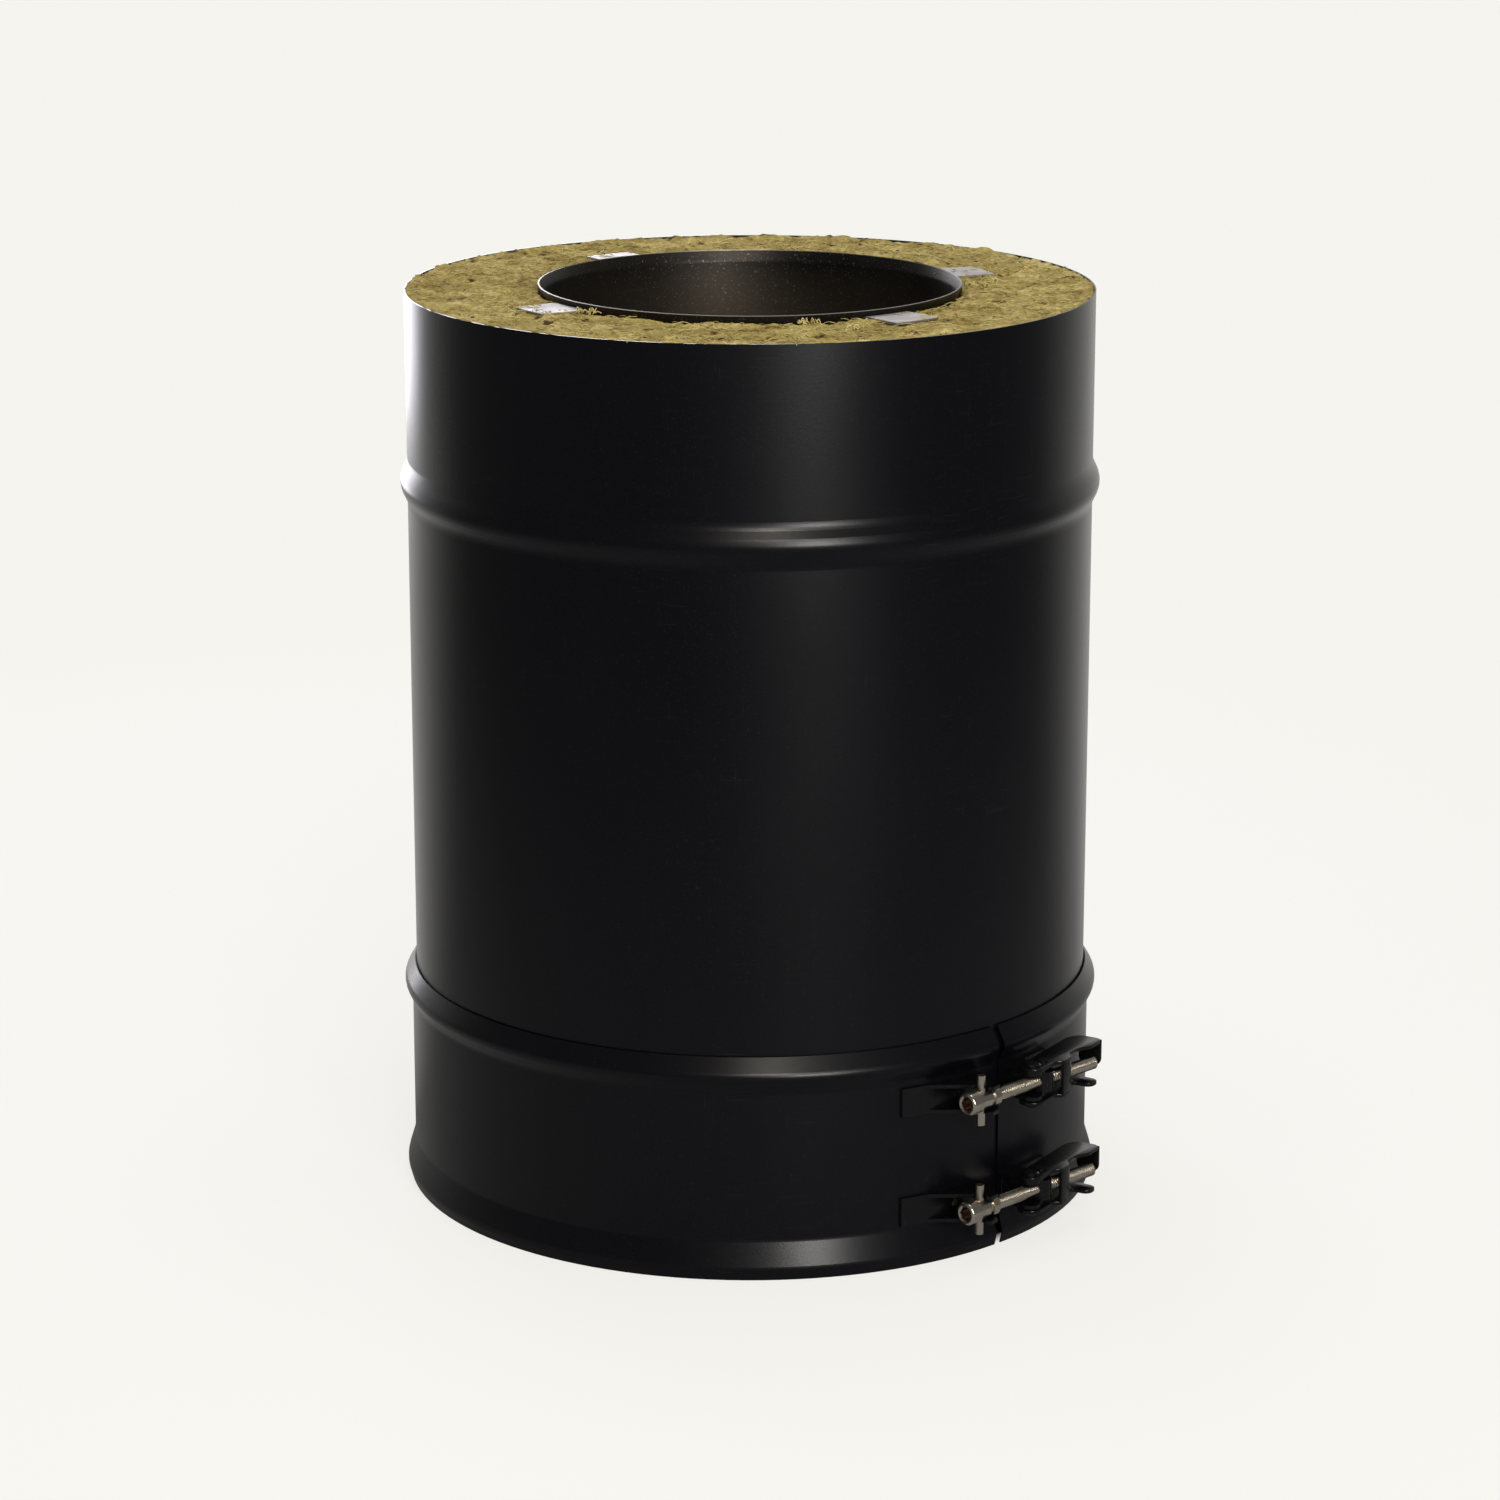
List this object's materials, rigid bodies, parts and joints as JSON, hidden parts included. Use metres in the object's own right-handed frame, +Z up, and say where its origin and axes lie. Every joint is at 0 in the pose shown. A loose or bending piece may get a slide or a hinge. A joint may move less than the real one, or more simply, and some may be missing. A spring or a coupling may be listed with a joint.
{
  "type": "insulated stove pipe",
  "caption": "Short length of black twin wall stove pipe, mineral wool between steel walls, with a lever-latched locking band round its bottom joint.",
  "frame": {"origin": "centre of the bottom, on the pipe's axis", "axes": "+Z up along the pipe's axis, towards the open top end; the split of the band lies between -Y and +X"},
  "size_m": [0.2608, 0.259, 0.3351],
  "materials": {
    "black_paint": "satin black stove paint on sheet steel",
    "liner_steel": "thin stainless liner",
    "mineral_wool": "loose olive mineral wool",
    "spacer_steel": "bright plate",
    "bright_steel": "bright zinc plated"
  },
  "bodies": {
    "root": {"outer_shell": "black_paint", "inner_liner": "liner_steel", "insulation": "mineral_wool", "locking_band": "black_paint", "spacer_1": "spacer_steel", "spacer_2": "spacer_steel", "spacer_3": "spacer_steel", "spacer_4": "spacer_steel", "upper_catch_plate": "black_paint", "upper_lever_bracket": "black_paint", "upper_pivot_rivets": "black_paint", "lower_catch_plate": "black_paint", "lower_lever_bracket": "black_paint", "lower_pivot_rivets": "black_paint"},
    "upper_lever": {"upper_lever": "black_paint"},
    "upper_screw": {"upper_tension_screw": "bright_steel", "upper_cross_pin": "bright_steel", "upper_trunnion_nut": "black_paint"},
    "lower_lever": {"lower_lever": "black_paint"},
    "lower_screw": {"lower_tension_screw": "bright_steel", "lower_cross_pin": "bright_steel", "lower_trunnion_nut": "black_paint"}
  },
  "joints": [
    {"name": "upper_lever_hinge", "type": "hinge", "parent": "root", "child": "upper_lever", "pos_m": [0.10071, -0.09479, 0.0615], "axis": [0, 0, -1], "range_deg": [0, 110]},
    {"name": "upper_screw_hinge", "type": "hinge", "parent": "upper_lever", "child": "upper_screw", "pos_m": [0.10477, -0.08949, 0.0615], "axis": [0, 0, -1], "range_deg": [-90.21, 0]},
    {"name": "lower_lever_hinge", "type": "hinge", "parent": "root", "child": "lower_lever", "pos_m": [0.10071, -0.09479, 0.0205], "axis": [0, 0, -1], "range_deg": [0, 110]},
    {"name": "lower_screw_hinge", "type": "hinge", "parent": "lower_lever", "child": "lower_screw", "pos_m": [0.10477, -0.08949, 0.0205], "axis": [0, 0, -1], "range_deg": [-90.21, 0]}
  ],
  "couplings": [
    {"joint": "upper_screw_hinge", "follows": "upper_lever_hinge", "ratio": -0.82},
    {"joint": "lower_screw_hinge", "follows": "lower_lever_hinge", "ratio": -0.82}
  ]
}
